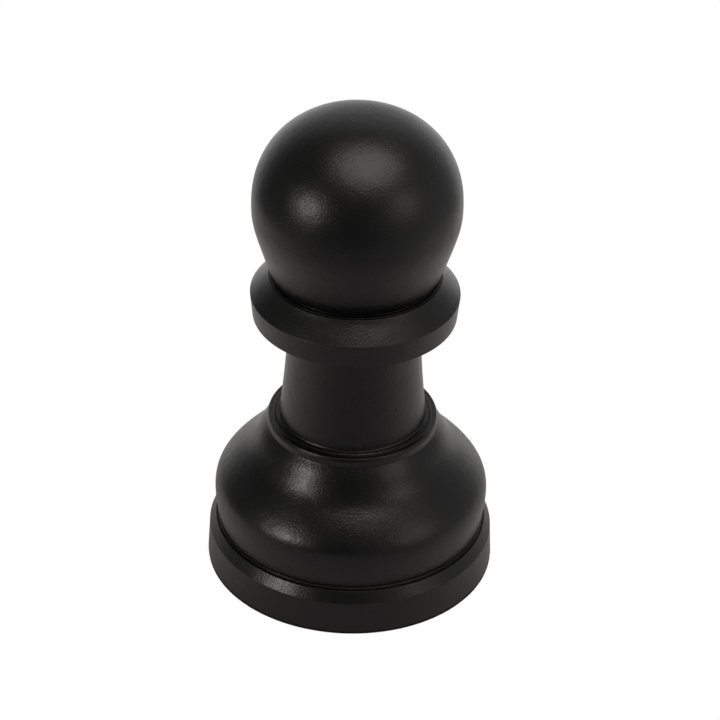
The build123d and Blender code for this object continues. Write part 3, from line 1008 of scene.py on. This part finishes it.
# %% [markdown]
# ## A bright studio
# A black glossy thing is seen only by what it mirrors, so the room matters more than the strength of the
# lamps: a lamp at the front left, a large soft lamp overhead, a weaker warm one at the right, and a pale wall
# behind. The table carries painted shade and a painted glow: its colour is painted greyer in front of the
# pawn and paler behind it, and its back half emits a little light though it is no lamp. The camera sees it
# plain white, and from underneath it is clear. An area lamp's brightness is power / (pi * area), so each lamp
# is given by its place, its radius and its brightness, and its power is worked out.

# %% Lay the table
TABLE_RADIUS = 0.36
TABLE_LEVEL = -0.05 * MM    # a hair below the felt, so the two faces don't coincide
TABLE_COLUMNS = 128
TABLE_ROUGHNESS = 0.9
# Painted shade: the grey that the table's colour takes in front of the pawn, fading to white behind it.
TABLE_PAINTED_SHADE = (0.45, 0.43, 0.46, 1.0)
WHITE = (1.0, 1.0, 1.0, 1.0)
TABLE_FADE = 0.12           # metres in front of and behind the pawn over which it pales
TABLE_ASIDE = 0.45          # a step to either side counts as this share of a step back
TABLE_WANDER = 4.0 * MM     # how far noise shifts that change of tone
TABLE_PAINTED_GLOW = 0.22      # strength of the painted glow: an emission on the table behind the pawn, no lamp

table_line = outline((0, TABLE_LEVEL), (TABLE_RADIUS, TABLE_LEVEL))
table = turned("pale_table", table_line[::-1], columns=TABLE_COLUMNS)
pieces.pop("pale_table")
tree, cloth, position = new_material("pale_table")
spot = node(tree, "ShaderNodeSeparateXYZ", {0: position}).outputs
aside = calculate(tree, "ABSOLUTE", spot["X"])
depth = calculate(tree, "MULTIPLY_ADD", aside, TABLE_ASIDE, spot["Y"])
wander = calculate(tree, "MULTIPLY_ADD", noise(tree, position, 60.0, detail=4.0), TABLE_WANDER, depth)
# Painted shade: the table's colour goes from grey in front of the pawn to white behind it, and noise moves
# the edge.
fade = ramp(tree, wander, -TABLE_FADE, TABLE_FADE)
tree.links.new(blend(tree, fade, TABLE_PAINTED_SHADE, WHITE), cloth["Base Color"])
# Painted glow: the table emits more light the further it lies behind the pawn, though it is no lamp.
painted_glow = ramp(tree, spot["Y"], 0.0, 2 * TABLE_FADE, 0.0, TABLE_PAINTED_GLOW)
tree.links.new(painted_glow, cloth["Emission Strength"])
cloth["Emission Color"].default_value = WHITE
cloth["Roughness"].default_value = TABLE_ROUGHNESS
shader = tree.nodes["Principled BSDF"]
glow = node(tree, "ShaderNodeEmission", {"Color": WHITE, "Strength": 1.0})
seen = node(tree, "ShaderNodeLightPath").outputs["Is Camera Ray"]
both = node(tree, "ShaderNodeMixShader", {0: seen, 1: shader.outputs[0], 2: glow.outputs[0]})
clear = node(tree, "ShaderNodeBsdfTransparent")
beneath = node(tree, "ShaderNodeNewGeometry").outputs["Backfacing"]
one_way = node(tree, "ShaderNodeMixShader", {0: beneath, 1: both.outputs[0], 2: clear.outputs[0]})
tree.links.new(one_way.outputs[0], tree.nodes["Material Output"].inputs["Surface"])
table.data.materials.append(materials["pale_table"])
print("table radius", TABLE_RADIUS, "m")

# %% Hang the lamps
PAWN_MIDDLE = Vector((0, 0, (head_top + plinth_bottom) / 2))


def lamp(name, azimuth, elevation, distance, radius, brightness, colour):
    """A round soft lamp aimed at the middle of the pawn.

    Its place is distance * (sin(azimuth) cos(elevation), -cos(azimuth) cos(elevation), sin(elevation)) from
    there, so azimuth 0 is in front of the pawn and 90 at its right. Its power is brightness * pi * area.
    """
    turn, lift = radians(azimuth), radians(elevation)
    way = Vector((sin(turn) * cos(lift), -cos(turn) * cos(lift), sin(lift)))
    light = bpy.data.lights.new(name, "AREA")
    light.shape = "DISK"
    light.size = 2 * radius
    area = pi * radius**2
    light.energy = brightness * pi * area
    light.color = colour
    holder = bpy.data.objects.new(name, light)
    aim = way.to_track_quat("Z", "Y").to_matrix().to_4x4()
    holder.matrix_world = Matrix.Translation(PAWN_MIDDLE + way * distance) @ aim
    holder.visible_camera = False
    bpy.context.scene.collection.objects.link(holder)
    return holder


lamp("front_left_lamp", -54, 16.5, 1.1, 0.16, 10.3, (1.0, 0.98, 0.91))
lamp("overhead_lamp", 40, 78, 1.0, 0.46, 2.5, (1.0, 0.94, 0.88))
lamp("warm_right_lamp", 55, 23, 1.0, 0.25, 1.1, (1.0, 0.87, 0.74))
print("lamps:", [light.name for light in bpy.data.lights])

# %% [markdown]
# ## Walls of light
# What no lamp fills is the room: dim in front, paler at the sides and bright behind. The world gives that to
# reflections as a function of direction, while the camera sees plain white.

# %% Colour the room
ROOM_DIM = 0.065
ROOM_BEHIND = 1.15
ROOM_RIGHT = 0.28
ROOM_LEFT = 0.05
ROOM_UPPER = 0.48           # share of the light behind that is left higher up

world = bpy.data.worlds.new("studio_room")
world.use_nodes = True
bpy.context.scene.world = world
tree = world.node_tree
direction = node(tree, "ShaderNodeTexCoord").outputs["Generated"]
way = node(tree, "ShaderNodeSeparateXYZ", {0: direction}).outputs
low_down = ramp(tree, way["Z"], -0.25, 0.35, 1.0, ROOM_UPPER)
behind = calculate(tree, "MULTIPLY", ramp(tree, way["Y"], 0.55, 0.98, 0.0, ROOM_BEHIND), low_down)
right = calculate(tree, "MULTIPLY", calculate(tree, "MAXIMUM", way["X"], 0.0), ROOM_RIGHT)
left = calculate(tree, "MULTIPLY", calculate(tree, "MINIMUM", way["X"], 0.0), -ROOM_LEFT)
sides = calculate(tree, "ADD", right, left)
room = calculate(tree, "ADD", calculate(tree, "ADD", behind, sides), ROOM_DIM)
seen = node(tree, "ShaderNodeLightPath").outputs["Is Camera Ray"]
strength = ramp(tree, seen, 0.0, 1.0, room, 1.0)
tree.links.new(strength, tree.nodes["Background"].inputs["Strength"])
tree.nodes["Background"].inputs["Color"].default_value = WHITE
print("room behind:", ROOM_DIM + ROOM_BEHIND)

# %% [markdown]
# ## The camera
# A long lens from over a metre away keeps the pawn's outline close to its true shape. The camera looks down
# at over a third of a right angle, and it is held a little over a degree off level.

# %% Place the camera
CAMERA_PLACE = Vector((0.0, -0.98224, 0.74166))
CAMERA_PITCH = radians(33.515)
CAMERA_YAW = radians(0.144)
CAMERA_ROLL = radians(1.407)
CAMERA_LENS = 150.0

level_reach = cos(CAMERA_PITCH)
forward = Vector((sin(CAMERA_YAW) * level_reach, cos(CAMERA_YAW) * level_reach, -sin(CAMERA_PITCH)))
level_right = Vector((cos(CAMERA_YAW), -sin(CAMERA_YAW), 0.0))
level_up = level_right.cross(forward)
camera_right = cos(CAMERA_ROLL) * level_right + sin(CAMERA_ROLL) * level_up
camera_up = -sin(CAMERA_ROLL) * level_right + cos(CAMERA_ROLL) * level_up

camera_data = bpy.data.cameras.new("studio_camera")
camera_data.lens = CAMERA_LENS
camera = bpy.data.objects.new("studio_camera", camera_data)
facing = Matrix((camera_right, camera_up, -forward)).transposed().to_4x4()
camera.matrix_world = Matrix.Translation(CAMERA_PLACE) @ facing
bpy.context.scene.collection.objects.link(camera)
bpy.context.scene.camera = camera
bpy.context.scene.view_settings.view_transform = "Standard"
print("camera", round(CAMERA_PLACE.length, 2), "m away")
